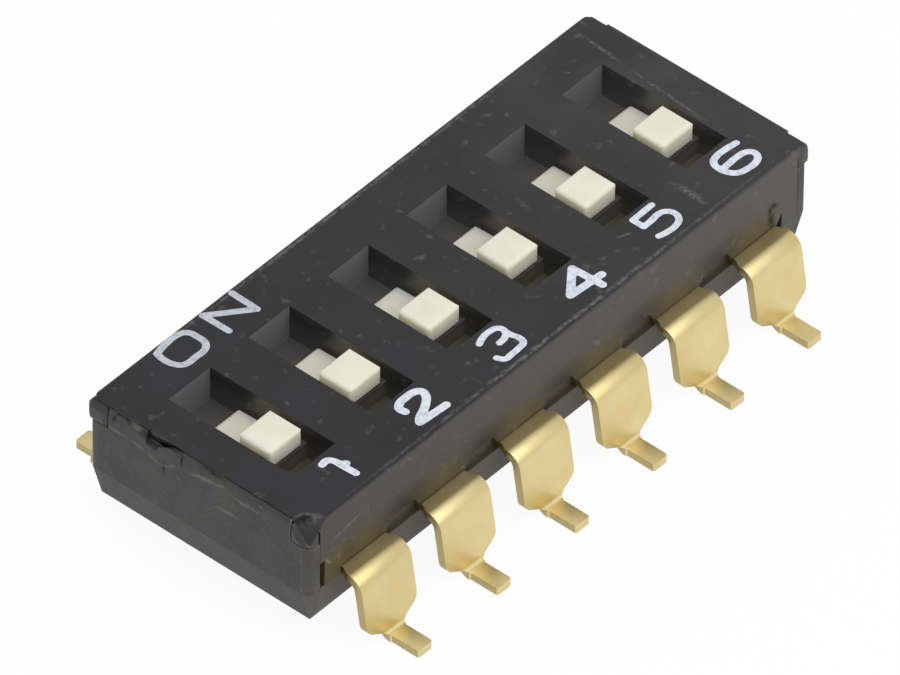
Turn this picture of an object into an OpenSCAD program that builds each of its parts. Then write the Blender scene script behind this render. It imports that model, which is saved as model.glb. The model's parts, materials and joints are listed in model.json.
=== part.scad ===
// Slide-type dual in-line switch for surface mounting.
// Millimetres, +Z up. The origin lies on the board, under the middle of the body.
// X runs from the first switch to the last, +Y points to the ON side, and the
// sliders are drawn in their OFF position.

/* [Switch row] */
// Number of switches side by side
ways = 6; // [2:1:12]
// Distance between two switches
pitch = 2.54; // [2.5:0.02:3]
// From the middle of an end switch to the end face of the housing
end_margin = 1.74; // [1.6:0.01:2.4]

/* [Housing] */
// Width of the housing across its long sides
body_w = 6.23; // [6:0.01:6.8]
// Height of the top face above the board
body_top = 3.65; // [3.6:0.05:4.2]
// Height of the underside above the board
standoff = 0.85; // [0.5:0.05:1.2]
// How far the lower part of the base draws in along its long sides
side_taper = 0.17; // [0:0.01:0.3]
// How far it draws in at its ends
end_taper = 0.22; // [0:0.01:0.3]
// Step all round, where the lower part of the base meets the upper part
ledge = 0.05; // [0:0.01:0.1]
// How far the upright corners of the base draw in towards the underside
corner_taper = 0.31; // [0.25:0.01:0.5]
// Radius of the four upright corners of the base
corner_r = 0.2; // [0.05:0.01:0.3]
// Radius of the corners of the cover's top face
cover_corner_r = 0.25; // [0.1:0.01:0.3]
// Bevel along the long edges of the top face
top_bevel = 0.05; // [0.02:0.01:0.12]
// Thickness of the upright end walls of the base
end_wall_t = 0.35; // [0.25:0.05:0.6]
// Thickness of the cover where it lies on the end walls
end_plate_t = 0.25; // [0.15:0.05:0.4]
// Thickness of the lip of an end wall, outside the edge of the cover
lip_t = 0.09; // [0.05:0.01:0.12]
// Distance from the top face down to the top of that lip
lip_drop = 0.02; // [0.01:0.01:0.1]
// Slope of the outer side of the lip, towards its top
lip_slope = 0.02; // [0:0.01:0.05]
// Thickness of the skirts along the long sides of the cover
skirt_t = 0.2; // [0.15:0.05:0.45]
// Width of the solid block at the last terminal, beside the end wall
skirt_block_w = 0.5; // [0.2:0.05:0.5]
// Groove between the skirt at the first terminal and the end wall
end_groove_w = 0.16; // [0.05:0.01:0.3]
// How much each side of a skirt tooth flares out from its tip to its root
tooth_flare = 0.2; // [0:0.01:0.35]
// Height of the notches in the skirt, between its teeth
notch_h = 0.3; // [0.1:0.01:0.5]
// Thickness of the cover's floor under the slots
deck_t = 0.27; // [0.2:0.01:0.4]

/* [Corner ears] */
// Width of a corner ear, along the end face
ear_w = 0.55; // [0.4:0.05:0.8]
// Depth of a corner ear below the top face
ear_h = 0.6; // [0.4:0.05:0.9]
// How far a corner ear stands proud of the walls
ear_proud = 0.05; // [0:0.01:0.15]
// Distance below the top face at which an ear ends
ear_drop = 0.04; // [0:0.01:0.1]
// Radius of the edges of an ear
ear_edge_r = 0.2; // [0.05:0.01:0.2]
// Chip off the ear at the first switch: along X, along Y and down
ear_chip = [0.65, 0.65, 0.6]; // [0.3:0.05:0.8]
// Crack at the lip beside the first switch: width, length along the lip and depth
lip_crack = [0.12, 1.1, 0.35]; // [0.05:0.01:1.2]
// Middle of that crack, measured from the middle of the end wall towards ON
lip_crack_y = 0.95; // [0:0.05:1.6]
// Wear of the same lip: how far it slants in, and over which height
lip_wear = [0.06, 0.3]; // [0.01:0.01:0.4]

/* [Slots] */
// Length of a slot
slot_l = 3.53; // [3.4:0.01:3.7]
// Width of a slot
slot_w = 1.32; // [1.2:0.01:1.6]
// Depth of a slot below the top face
slot_d = 0.9; // [0.8:0.05:1]
// Shift of the slots towards the ON side
slot_shift = 0.045; // [-0.1:0.005:0.15]

/* [Sliders] */
// Length of a knob along its travel
knob_l = 0.92; // [0.7:0.01:1]
// Width of a knob
knob_w = 1.02; // [0.8:0.01:1.1]
// Height of a knob, down to the stop bar it hangs over
knob_h = 0.51; // [0.4:0.01:0.6]
// How far a knob stands above the top face
knob_proud = 0.06; // [0:0.01:0.3]
// Radius of the edges of a knob
knob_edge_r = 0.1; // [0.02:0.01:0.15]
// Travel from OFF to ON
travel = 0.82; // [0.7:0.01:1]
// Width of the leg behind and below a knob
leg_w = 1.14; // [0.8:0.01:1.2]
// How far the leg reaches out behind the knob, towards ON
leg_reach = 0.98; // [0.6:0.01:1.05]
// Height of the leg above the floor of the slot
leg_h = 0.33; // [0.15:0.01:0.35]
// Fall of the top of the leg towards its far edge
leg_fall = 0.04; // [0:0.01:0.12]
// Radius of the far edge of the leg
leg_edge_r = 0.1; // [0.04:0.01:0.15]
// Length of the stem that goes through the floor of the slot
stem_l = 0.34; // [0.25:0.01:0.4]
// Width of that stem
stem_w = 0.5; // [0.4:0.01:0.7]
// Shoulder between the stem and the pin that holds the contact spring
pin_shoulder = 0.08; // [0.05:0.01:0.12]
// Length of the stop bar along the travel
bar_l = 0.5; // [0.35:0.01:0.55]

/* [Terminals] */
// Thickness of the terminal strip
strip_t = 0.2; // [0.15:0.01:0.25]
// Height of the underside of the strip where it leaves the housing
strip_z = 1.71; // [1.6:0.01:1.8]
// Width of the strip where it leaves the housing
exit_w = 1.38; // [1.2:0.01:1.5]
// Width of the upright blade
blade_w = 1.6; // [1.5:0.01:1.9]
// Length of the level part outside the housing
level_l = 0.27; // [0.15:0.01:0.6]
// Lean of the blade, outwards and down
blade_lean = 9; // [0:0.5:15]
// Outer radius of the upper bend
bend_r = 0.39; // [0.26:0.01:0.5]
// Inner radius of the lower bend
heel_r = 0.12; // [0.05:0.01:0.2]
// Radius of the lower corners of the blade
blade_corner_r = 0.28; // [0.1:0.01:0.4]
// Angle over which a lower corner of the blade is round
blade_corner_turn = 55; // [40:1:70]
// Height over which the blade draws in to its neck
blade_point_h = 0.46; // [0.3:0.01:0.6]
// Width of a soldering foot
foot_w = 0.45; // [0.3:0.01:0.6]
// Level length of a soldering foot
foot_l = 0.78; // [0.5:0.01:1]
// Radius of the two corners at the tip of a foot
foot_corner_r = 0.06; // [0.02:0.01:0.15]
// How far each side of the neck flares out above the foot
neck_flare = 0.03; // [0:0.01:0.06]
// Width of the contact pad inside the housing
pad_w = 0.9; // [0.6:0.05:1.1]
// Gap between the two contact pads of one switch
pad_gap = 0.32; // [0.2:0.01:0.4]

/* [Contact springs] */
// Thickness of the spring strip
spring_t = 0.08; // [0.05:0.01:0.12]
// Width of the spring strip
spring_w = 0.8; // [0.6:0.05:0.9]
// Distance between the two rubbing tips of a spring
tip_span = 1; // [0.9:0.01:1.05]
// Gap between the middle of a spring and the floor of the slots above it
spring_gap = 0.1; // [0.05:0.01:0.12]
// Length of a rubbing tip along the travel
tip_l = 0.06; // [0.04:0.01:0.1]
// How far a spring runs on beyond the middle of its tips, turned up
tip_turn_l = 0.14; // [0.1:0.01:0.2]
// Slit between the two fingers of an arm
finger_slit = 0.12; // [0.06:0.01:0.2]

/* [Fits] */
// Running clearance of the sliding pieces
run_gap = 0.02; // [0.01:0.005:0.04]
// Gap between a slider at its stop and the wall it stops against
stop_gap = 0.03; // [0.01:0.005:0.05]
// Gap between the cover and the base
seam_gap = 0.01; // [0.005:0.005:0.03]
// Margin of a skirt tooth on either side of its terminal
tooth_margin = 0.03; // [0:0.01:0.1]
// Room beside the slot, in the well below it
well_margin = 0.2; // [0.1:0.05:0.3]
// Room beyond the rubbing tips at the ends of a well
well_end = 0.3; // [0.2:0.05:0.4]

/* [Hidden] */
$fn = 48;

// Housing levels and half sizes
body_hl = (ways - 1) / 2 * pitch + end_margin;
body_hw = body_w / 2;
strip_top = strip_z + strip_t;
deck_top = body_top - slot_d;
deck_under = deck_top - deck_t;
core_hw = body_hw - skirt_t - seam_gap;
core_top = deck_under - seam_gap;
inner_hl = body_hl - end_wall_t;
plate_hl = body_hl - lip_t - seam_gap;
tooth_hw = exit_w / 2 + tooth_margin;
notch_top = strip_top + notch_h;

// From the middle to the face that cuts off each upright corner, which slants in from
// just outside the corner's rounding
corner_reach = (body_hl + body_hw) / sqrt(2) - corner_r / 3;

// Slots and sliders, all at OFF
slot_near = slot_shift - slot_l / 2;
slot_far = slot_shift + slot_l / 2;
leg_far = slot_far - stop_gap - travel;
knob_far = leg_far - leg_reach;
knob_near = knob_far - knob_l;
knob_top = body_top + knob_proud;
knob_under = knob_top - knob_h;
bar_far = knob_near + bar_l;
bar_top = knob_under - run_gap;
leg_near = bar_far + stop_gap;
leg_under = deck_top + run_gap;
leg_top = deck_top + leg_h;
stem_mid = leg_near + stem_l / 2;

// Contact springs and pads
tip_z = strip_top + run_gap;
spring_z = deck_under - spring_gap - spring_t;
pad_gap_mid = stem_mid + (travel + tip_span) / 2;
pin = [stem_w - 2 * pin_shoulder, stem_l - 2 * pin_shoulder];

// Cavity in the base under each slot
well_w = slot_w + 2 * well_margin;
well_near = stem_mid - tip_span / 2 - well_end;
well_far = stem_mid + travel + tip_span / 2 + well_end;

// Terminal outline, with u measured outwards from the middle of the housing
bend_u = body_hw + level_l;
bend_in = bend_r - strip_t;
heel_out = heel_r + strip_t;
lean_c = cos(blade_lean);
lean_s = sin(blade_lean);
bend_z = strip_top - bend_r;
heel_z = strip_t + heel_r;
blade_l = (bend_z + bend_r * lean_s - heel_z + heel_r * lean_s) / lean_c;
heel_u = bend_u + (bend_r + heel_r) * lean_c + blade_l * lean_s;
foot_tip_u = heel_u + foot_l;

// Steps in the round stretches of the outlines
bend_steps = 10;
level_steps = 8;
leg_steps = 8;
blade_corner_steps = 6;
foot_corner_steps = 4;

function x_of(n) = (n - (ways + 1) / 2) * pitch;
function arc(c, r, from, to, steps) =
    [for (k = [0:steps]) let (a = from + (to - from) * k / steps) c + r * [cos(a), sin(a)]];
function mirrored(points) =
    [for (k = [len(points) - 1:-1:0]) [-points[k].x, points[k].y]];

// ---- Shared shapes ----

module rounded_rect(size, r) {
    square([size.x - 2 * r, size.y], center = true);
    square([size.x, size.y - 2 * r], center = true);
    for (sx = [-1, 1], sy = [-1, 1])
        translate([sx * (size.x / 2 - r), sy * (size.y / 2 - r)]) circle(r);
}

// Extrudes an outline drawn in (Y, Z) along X, centred on the middle
module along_x(width) {
    rotate([90, 0, 90]) linear_extrude(width, center = true) children();
}

// Extrudes an outline drawn in (X, Z) along Y, centred on the middle
module along_y(width) {
    rotate([90, 0, 0]) linear_extrude(width, center = true) children();
}

// A block between two corners
module block(low, high) {
    translate(low) cube(high - low);
}

// A block with all its edges rounded
module soft_block(low, high, r) {
    size = high - low;
    translate((low + high) / 2) intersection() {
        linear_extrude(size.z, center = true) rounded_rect([size.x, size.y], r);
        along_x(size.x) rounded_rect([size.y, size.z], r);
        along_y(size.y) rounded_rect([size.x, size.z], r);
    }
}

// ---- Base ----

// Outline of the housing seen along X or along Y, drawn in towards the underside
module tapered_profile(half, taper) {
    polygon([
        [taper - half, standoff], [half - taper, standoff], [half - ledge, strip_z],
        [half, strip_z], [half, body_top], [-half, body_top], [-half, strip_z],
        [ledge - half, strip_z]
    ]);
}

module base() {
    color("#26272a") difference() {
        intersection() {
            along_x(3 * body_hl) tapered_profile(body_hw, side_taper);
            along_y(3 * body_w) tapered_profile(body_hl, end_taper);
            for (turn = [-45, 45]) rotate(turn)
                along_y(3 * body_hl) tapered_profile(corner_reach, corner_taper);
            linear_extrude(body_top) rounded_rect([2 * body_hl, body_w], corner_r);
            union() {
                block([-body_hl, -body_hw, standoff], [body_hl, body_hw, strip_z]);
                block([-body_hl, -core_hw, standoff], [body_hl, core_hw, core_top]);
                for (turn = [0, 180]) rotate(turn) end_wall();
            }
        }
        for (n = [1:ways]) {
            block([x_of(n) - well_w / 2, well_near, strip_top],
                [x_of(n) + well_w / 2, well_far, body_top]);
            terminal_inside(n, 1);
            terminal_inside(n, -1);
        }
        lip_crack_cut();
        lip_wear_cut();
    }
}

// An upright end wall with a lip, lower at its two corners where the cover's ears sit
module end_wall() {
    ear_in = body_hw - ear_w - seam_gap;
    ear_seat = body_top - ear_h - seam_gap;
    wall_top = body_top - end_plate_t - seam_gap;
    lip_top = body_top - lip_drop;
    block([inner_hl, -body_hw, standoff], [body_hl, body_hw, ear_seat]);
    along_y(2 * ear_in) polygon([
        [inner_hl, standoff], [body_hl, standoff], [body_hl, ear_seat],
        [body_hl - lip_slope, lip_top], [body_hl - lip_t, lip_top],
        [body_hl - lip_t, wall_top], [inner_hl, wall_top]
    ]);
}

// The crack between the cover and the lip of the end wall, beside the first switch
module lip_crack_cut() {
    x = -plate_hl - seam_gap / 2;
    half = lip_crack.y / 2;
    translate([x, lip_crack_y, body_top - lip_crack.z]) linear_extrude(body_top)
        polygon([[0, -half], [lip_crack.x / 2, half], [-lip_crack.x, half]]);
}

// The worn outer edge of the same lip
module lip_wear_cut() {
    along_y(2 * body_w) polygon([
        [-body_hl, body_top - lip_wear.y], [lip_wear.x - body_hl, body_top],
        [-body_hl - lip_wear.x, body_top]
    ]);
}

// ---- Cover ----

module cover() {
    color("#202124") {
        difference() {
            union() {
                intersection() {
                    cover_envelope();
                    union() {
                        block([-inner_hl + seam_gap, -body_hw, deck_under],
                            [inner_hl - seam_gap, body_hw, body_top]);
                        block([-plate_hl, -body_hw, body_top - end_plate_t],
                            [plate_hl, body_hw, body_top]);
                        for (turn = [0, 180]) rotate(turn) skirt_teeth();
                    }
                }
                for (along = [0, 1], across = [0, 1])
                    mirror([along, 0, 0]) mirror([0, across, 0]) corner_ear();
            }
            for (n = [1:ways]) translate([x_of(n), 0, 0]) slot_cut();
            ear_chip_cut();
            lip_crack_cut();
        }
        for (n = [1:ways]) translate([x_of(n), 0, 0]) stop_bar();
    }
}

// Outer form of the cover, with a bevel along the long edges of its top face
module cover_envelope() {
    intersection() {
        along_x(2 * plate_hl) polygon([
            [-body_hw, 0], [body_hw, 0], [body_hw, body_top - top_bevel],
            [body_hw - top_bevel, body_top], [top_bevel - body_hw, body_top],
            [-body_hw, body_top - top_bevel]
        ]);
        linear_extrude(body_top) rounded_rect([2 * plate_hl, body_w], cover_corner_r);
    }
}

// The skirt along one long side. A tooth with slanting sides reaches down to each terminal,
// and the skirt reaches down to the base beside the first terminal and the last.
module skirt_teeth() {
    root_hw = tooth_hw + tooth_flare;
    for (n = [1:ways]) translate([x_of(n), skirt_t / 2 - body_hw, 0])
        along_y(skirt_t) polygon([
            [-tooth_hw, strip_top], [tooth_hw, strip_top], [root_hw, notch_top],
            [root_hw, deck_top], [-root_hw, deck_top], [-root_hw, notch_top]
        ]);
    skirt_block(end_groove_w - inner_hl, inner_hl - seam_gap, notch_top);
    skirt_block(end_groove_w - inner_hl, x_of(1) - tooth_hw, strip_z);
    skirt_block(inner_hl - skirt_block_w, inner_hl - seam_gap, strip_z);
}

module skirt_block(x1, x2, low) {
    block([x1, -body_hw, low], [x2, skirt_t - body_hw, deck_top]);
}

// A rounded ear at a corner, which seats in the notch of the end wall
module corner_ear() {
    r = ear_edge_r;
    low = [inner_hl - seam_gap, body_hw - ear_w, body_top - ear_h];
    high = [body_hl + ear_proud, body_hw + ear_proud, body_top - ear_drop];
    reach = (high.x + high.y - 2 * r) / sqrt(2) + r;
    intersection() {
        soft_block(low, high, r);
        translate([0, 0, (low.z + high.z) / 2]) rotate(45)
            along_y(2 * reach) rounded_rect([2 * reach, high.z - low.z], r);
    }
}

// The slanting chip off the ear beside the first switch, on the number side
module ear_chip_cut() {
    n = [-1 / ear_chip.x, -1 / ear_chip.y, 1 / ear_chip.z];
    size = 2 * norm(ear_chip);
    translate([-body_hl, -body_hw, body_top]) translate(-n / (n * n))
        rotate([0, acos(n.z / norm(n)), atan2(n.y, n.x)])
            translate([-size, -size, 0]) cube(2 * size);
}

// A slot, with a slit in its floor for the stem of the slider
module slot_cut() {
    slit_hw = stem_w / 2 + run_gap;
    block([-slot_w / 2, slot_near, deck_top], [slot_w / 2, slot_far, knob_top + slot_d]);
    block([-slit_hw, bar_far, deck_under - deck_t],
        [slit_hw, leg_near + stem_l + travel + stop_gap, body_top]);
}

// The bar under the knob, which stops the slider at OFF
module stop_bar() {
    block([-slot_w / 2, knob_near, deck_top], [slot_w / 2, bar_far, bar_top]);
}

// ---- Sliders ----

module slider(n) {
    color("#e6e3d1") translate([x_of(n), 0, 0]) {
        soft_block([-knob_w / 2, knob_near, knob_under], [knob_w / 2, knob_far, knob_top],
            knob_edge_r);
        along_x(leg_w) leg_profile();
        translate([0, stem_mid, spring_z + spring_t])
            linear_extrude(leg_under - spring_z) square([stem_w, stem_l], center = true);
        translate([0, stem_mid, spring_z])
            linear_extrude(leg_under - spring_z) square(pin, center = true);
    }
}

// Side view of the leg: upright under the knob, then falling to a rounded far edge
module leg_profile() {
    r = leg_edge_r;
    far_top = leg_top - leg_fall;
    polygon(concat(
        [[leg_near, leg_under], [leg_far, leg_under]],
        arc([leg_far - r, far_top - r], r, 0, 90, leg_steps),
        [[knob_far, leg_top], [knob_far - knob_edge_r, knob_under + knob_edge_r],
        [leg_near, knob_under + knob_edge_r]]
    ));
}

// ---- Terminals ----

// The part inside the housing: the contact pad, and a broad root inside the wall
module terminal_inside(n, side) {
    pad_end = pad_gap_mid + side * pad_gap / 2;
    root = side < 0 ? well_near - strip_t : well_far + strip_t;
    strip_piece(n, pad_w, pad_end, root);
    strip_piece(n, exit_w, root, side * core_hw);
}

module strip_piece(n, width, y1, y2) {
    block([x_of(n) - width / 2, min(y1, y2), strip_z],
        [x_of(n) + width / 2, max(y1, y2), strip_top]);
}

// Side view of the strip from inside the wall of the housing to the foot
module strip_profile() {
    root_u = core_hw - strip_t;
    upper = [bend_u, bend_z];
    lower = [heel_u, heel_z];
    polygon(concat(
        [[root_u, strip_z], [root_u, strip_top]],
        arc(upper, bend_r, 90, blade_lean, bend_steps),
        arc(lower, heel_r, 180 + blade_lean, 270, bend_steps),
        [[foot_tip_u, strip_t], [foot_tip_u, 0]],
        arc(lower, heel_out, 270, 180 + blade_lean, bend_steps),
        arc(upper, bend_in, blade_lean, 90, bend_steps)
    ));
}

// Front view of the blade, with its rounded lower corners and the neck below
module blade_outline() {
    hw = blade_w / 2;
    neck_hw = foot_w / 2 + neck_flare;
    r = blade_corner_r;
    right = concat(
        [[hw, strip_top + strip_t]],
        arc([hw - r, strip_t + blade_point_h], r, 0, -blade_corner_turn, blade_corner_steps),
        [[neck_hw, strip_t], [foot_w / 2, strip_t - neck_flare], [foot_w / 2, -strip_t]]
    );
    polygon(concat(right, mirrored(right)));
}

// Plan view of the strip beside the housing, widening to the blade by half a cosine wave
module level_outline() {
    hw1 = exit_w / 2;
    hw2 = blade_w / 2;
    side = [for (k = [0:level_steps]) let (t = k / level_steps)
        [hw1 + (hw2 - hw1) * (1 - cos(180 * t)) / 2, body_hw + level_l * t]];
    right = concat([[hw1, 0]], side, [[hw2, bend_u + strip_t]]);
    polygon(concat(right, mirrored(right)));
}

// Plan view of the foot, flared where it leaves the blade, with rounded tip corners
module foot_outline() {
    r = foot_corner_r;
    hw = foot_w / 2;
    root = hw + neck_flare;
    polygon(concat(
        [[-hw, heel_u + neck_flare], [-root, heel_u], [-root, heel_u - heel_out]],
        [[root, heel_u - heel_out], [root, heel_u], [hw, heel_u + neck_flare]],
        arc([hw - r, foot_tip_u - r], r, 0, 90, foot_corner_steps),
        arc([r - hw, foot_tip_u - r], r, 90, 180, foot_corner_steps)
    ));
}

// The terminal, drawn pointing to +Y and turned for the number side
module terminal(n, side) {
    color("#dac88c") {
        terminal_inside(n, side);
        translate([x_of(n), 0, 0]) rotate(side < 0 ? 180 : 0) intersection() {
            along_x(2 * blade_w) strip_profile();
            union() {
                translate([0, 0, bend_z - bend_r]) linear_extrude(body_top) level_outline();
                translate([0, (bend_u + heel_u) / 2, 0]) along_y(heel_u - bend_u) blade_outline();
                translate([0, 0, -strip_t]) linear_extrude(3 * strip_t) foot_outline();
            }
        }
    }
}

// ---- Contact springs ----

// A bridge of spring strip on the pin of the slider, split into two fingers at each end
module contact_spring(n) {
    flat = stem_l / 2 + spring_t;
    color("#c9a76b") translate([x_of(n), stem_mid, 0]) difference() {
        along_x(spring_w) spring_profile(flat);
        linear_extrude(body_top) square(pin, center = true);
        for (turn = [0, 180]) rotate(turn)
            block([-finger_slit / 2, flat, 0], [finger_slit / 2, tip_span, body_top]);
    }
}

// Side view of a spring: both arms slope down to their tips, and turn up beyond them
module spring_profile(flat) {
    tip = tip_span / 2;
    end = tip + tip_turn_l;
    t = spring_t;
    right = [
        [flat, spring_z + t], [tip, tip_z + t], [end, tip_z + 2 * t], [end, tip_z + t],
        [tip + tip_l / 2, tip_z], [tip - tip_l / 2, tip_z], [flat, spring_z]
    ];
    polygon(concat(right, mirrored(right)));
}

base();
cover();
for (n = [1:ways]) {
    slider(n);
    contact_spring(n);
    terminal(n, -1);
    terminal(n, 1);
}
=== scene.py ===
import json
import math

import bpy
from mathutils import Matrix, Vector

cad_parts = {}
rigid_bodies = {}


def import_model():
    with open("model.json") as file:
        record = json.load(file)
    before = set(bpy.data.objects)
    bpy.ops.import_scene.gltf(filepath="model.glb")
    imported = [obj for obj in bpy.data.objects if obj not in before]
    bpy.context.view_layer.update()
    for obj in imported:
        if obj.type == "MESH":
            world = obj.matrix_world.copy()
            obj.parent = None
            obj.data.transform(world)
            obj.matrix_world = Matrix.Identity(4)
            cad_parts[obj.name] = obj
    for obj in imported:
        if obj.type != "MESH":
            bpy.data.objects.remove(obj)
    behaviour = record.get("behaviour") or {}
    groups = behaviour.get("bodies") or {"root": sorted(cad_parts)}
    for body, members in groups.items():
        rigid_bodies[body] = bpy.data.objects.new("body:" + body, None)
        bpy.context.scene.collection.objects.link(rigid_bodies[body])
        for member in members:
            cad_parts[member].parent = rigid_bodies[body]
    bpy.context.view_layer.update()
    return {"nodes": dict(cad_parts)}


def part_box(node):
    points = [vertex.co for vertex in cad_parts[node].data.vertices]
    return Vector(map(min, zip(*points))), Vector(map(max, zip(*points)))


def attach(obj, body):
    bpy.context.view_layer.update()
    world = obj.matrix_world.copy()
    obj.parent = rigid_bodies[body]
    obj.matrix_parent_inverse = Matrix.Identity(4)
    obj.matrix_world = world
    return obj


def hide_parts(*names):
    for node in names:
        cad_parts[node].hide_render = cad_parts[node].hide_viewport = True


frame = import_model()

# ---- Base ----
# The tray of the switch, moulded in one piece from black glass-filled nylon. It holds the
# terminals, and its end walls carry a thin lip that lies against the edge of the cover.

mm = 0.001
base_edge = 0.005 * mm  # the mould leaves the outer edges this round
half_length, half_width, lip_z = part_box("base")[1]
skirt_seat_y = half_width - 0.21 * mm  # wall of the tray, behind the skirts of the cover
end_wall_x = half_length - 0.35 * mm  # inner side of an end wall
notch_y = half_width - 0.56 * mm  # side wall of the notch for an ear of the cover
notch_z = lip_z - 0.59 * mm  # seat of that notch
patch_size = 0.9 * mm  # patches of a slightly different black
tear_size, tear_depth = 0.35 * mm, 0.05 * mm  # waves of the rough ends
fibre_size = 0.11 * mm  # the glass fibres, drawn about ten times as coarse so that they show
fibre_depth = 0.012 * mm  # how far they stand out of the skin
crack_fray, crack_stray = 0.12 * mm, 0.15 * mm  # waves of a ragged edge, and how far they stray
crack_depth = 0.05 * mm


def linear(code):
    """An sRGB hex colour as the linear RGBA a socket takes."""
    parts = [int(code[k:k + 2], 16) / 255 for k in (1, 3, 5)]
    light = [c / 12.92 if c <= 0.04045 else ((c + 0.055) / 1.055) ** 2.4 for c in parts]
    return (*light, 1.0)


def add(material, kind, settings=None, links=None):
    """Adds a node. settings go to its properties or input sockets, links to its input sockets."""
    made = material.node_tree.nodes.new("ShaderNode" + kind)
    for name, value in (settings or {}).items():
        if isinstance(name, str) and hasattr(made, name):
            setattr(made, name, value)
        else:
            made.inputs[name].default_value = value
    for name, socket in (links or {}).items():
        material.node_tree.links.new(socket, made.inputs[name])
    return made


def new_material(name):
    """A new material with nothing but a shader joined to its output, and that shader."""
    material = bpy.data.materials.new(name)
    material.use_nodes = True
    material.node_tree.nodes.clear()
    shader = add(material, "BsdfPrincipled")
    add(material, "OutputMaterial", links={"Surface": shader.outputs[0]})
    return material, shader


def join(material, socket_out, socket_in):
    """Links an output socket to an input socket of the same material."""
    material.node_tree.links.new(socket_out, socket_in)


def streaks(material, vector, marks):
    """A mask along marks, each one a start, an end and a half width in millimetres."""
    full_from = 0.9  # on the way from the rim of a mark, at 0, to its middle, at 1
    total = None
    for start, end, half in marks:
        middle = (Vector(start) + Vector(end)) / 2
        run = Vector(end) - Vector(start)
        local = add(material, "Mapping", {"vector_type": "TEXTURE", "Location": middle * mm,
                                          "Rotation": run.to_track_quat("X", "Z").to_euler(),
                                          "Scale": Vector((run.length / 2 + half, half, half)) * mm},
                    {"Vector": vector})
        ball = add(material, "TexGradient", {"gradient_type": "SPHERICAL"}, {"Vector": local.outputs[0]})
        if total:
            total = add(material, "Math", {"operation": "MAXIMUM"},
                        {0: total.outputs[0], 1: ball.outputs["Fac"]})
        else:
            total = add(material, "Math", {"operation": "MAXIMUM", 1: 0.0}, {0: ball.outputs["Fac"]})
    mask = add(material, "MapRange", {"From Min": 0.0, "From Max": full_from}, {"Value": total.outputs[0]})
    return mask.outputs["Result"]


def ragged(material, vector, size, reach):
    """The same coordinates, pushed about by a noise of this size, to give a mark a ragged edge."""
    push = add(material, "TexNoise", {"Scale": 1 / size, "Detail": 3.0}, {"Vector": vector})
    even = add(material, "VectorMath", {"operation": "SUBTRACT", 1: (0.5, 0.5, 0.5)},
               {0: push.outputs["Color"]})
    moved = add(material, "VectorMath", {"operation": "MULTIPLY_ADD", 1: (reach, reach, reach)},
                {0: even.outputs[0], 2: vector})
    return moved.outputs[0]


def only(piece):
    """Deselects everything, then selects this piece alone."""
    if bpy.context.object and bpy.context.object.mode != "OBJECT":
        bpy.ops.object.mode_set(mode="OBJECT")
    bpy.ops.object.select_all(action="DESELECT")
    piece.select_set(True)
    bpy.context.view_layer.objects.active = piece


def eased_copy(node, name, width):
    """A copy of a CAD node with its doubles merged and its sharp edges eased by width."""
    double = 0.0005 * mm
    flat, sharp, smooth = math.radians(0.5), math.radians(35), math.radians(32)
    only(frame["nodes"][node])
    bpy.ops.object.duplicate()
    piece = bpy.context.object
    bpy.ops.object.parent_clear(type="CLEAR_KEEP_TRANSFORM")
    piece.name = piece.data.name = name
    bpy.ops.object.mode_set(mode="EDIT")
    bpy.ops.mesh.select_all(action="SELECT")
    bpy.ops.mesh.remove_doubles(threshold=double)
    bpy.ops.mesh.dissolve_limited(angle_limit=flat)
    bpy.ops.object.mode_set(mode="OBJECT")
    ease = piece.modifiers.new("ease", "BEVEL")
    ease.width, ease.segments = width, 2
    ease.limit_method, ease.angle_limit = "ANGLE", sharp
    ease.miter_outer = "MITER_ARC"
    bpy.ops.object.modifier_apply(modifier=ease.name)
    bpy.ops.object.shade_smooth_by_angle(angle=smooth)
    even = piece.modifiers.new("even", "WEIGHTED_NORMAL")
    even.keep_sharp = True
    bpy.ops.object.modifier_apply(modifier=even.name)
    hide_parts(node)
    return piece


# Glass-filled nylon, moulded and broken from its runner: near black with a dull skin. At the
# ends it is rough, and the glass fibres stand out as pale flecks. The wall of the recess behind
# the terminals is painted brown and pale, a painted warm reflection of the gold and painted
# light against the shade there, and the notches for the ears are painted pale against their shade.
nylon, nylon_shader = new_material("glass_filled_nylon_moulded_black")
place = add(nylon, "TexCoord")
axes = add(nylon, "SeparateXYZ", links={"Vector": place.outputs["Object"]})
along = add(nylon, "Math", {"operation": "ABSOLUTE"}, {0: axes.outputs["X"]})
sideways = add(nylon, "Math", {"operation": "ABSOLUTE"}, {0: axes.outputs["Y"]})
cloud = add(nylon, "TexNoise", {"Scale": 1 / patch_size, "Detail": 5.0, "Roughness": 0.6},
            {"Vector": place.outputs["Object"]})
tone = add(nylon, "ValToRGB", links={"Fac": cloud.outputs["Fac"]})
darkest, palest = tone.color_ramp.elements
darkest.position, darkest.color = 0.35, linear("#262626")
palest.position, palest.color = 0.75, linear("#363633")

# The sides: painted brown and pale on the wall of the tray, as a warm reflection of the gold and
# as light against its shade; less brown on the outer face, and clean at the corners.
at_side = add(nylon, "MapRange",
              {"From Min": skirt_seat_y - 0.055 * mm, "From Max": skirt_seat_y - 0.015 * mm},
              {"Value": sideways.outputs[0]})
outer = add(nylon, "MapRange",
            {"From Min": skirt_seat_y + 0.025 * mm, "From Max": skirt_seat_y + 0.065 * mm},
            {"Value": sideways.outputs[0]})
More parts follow.
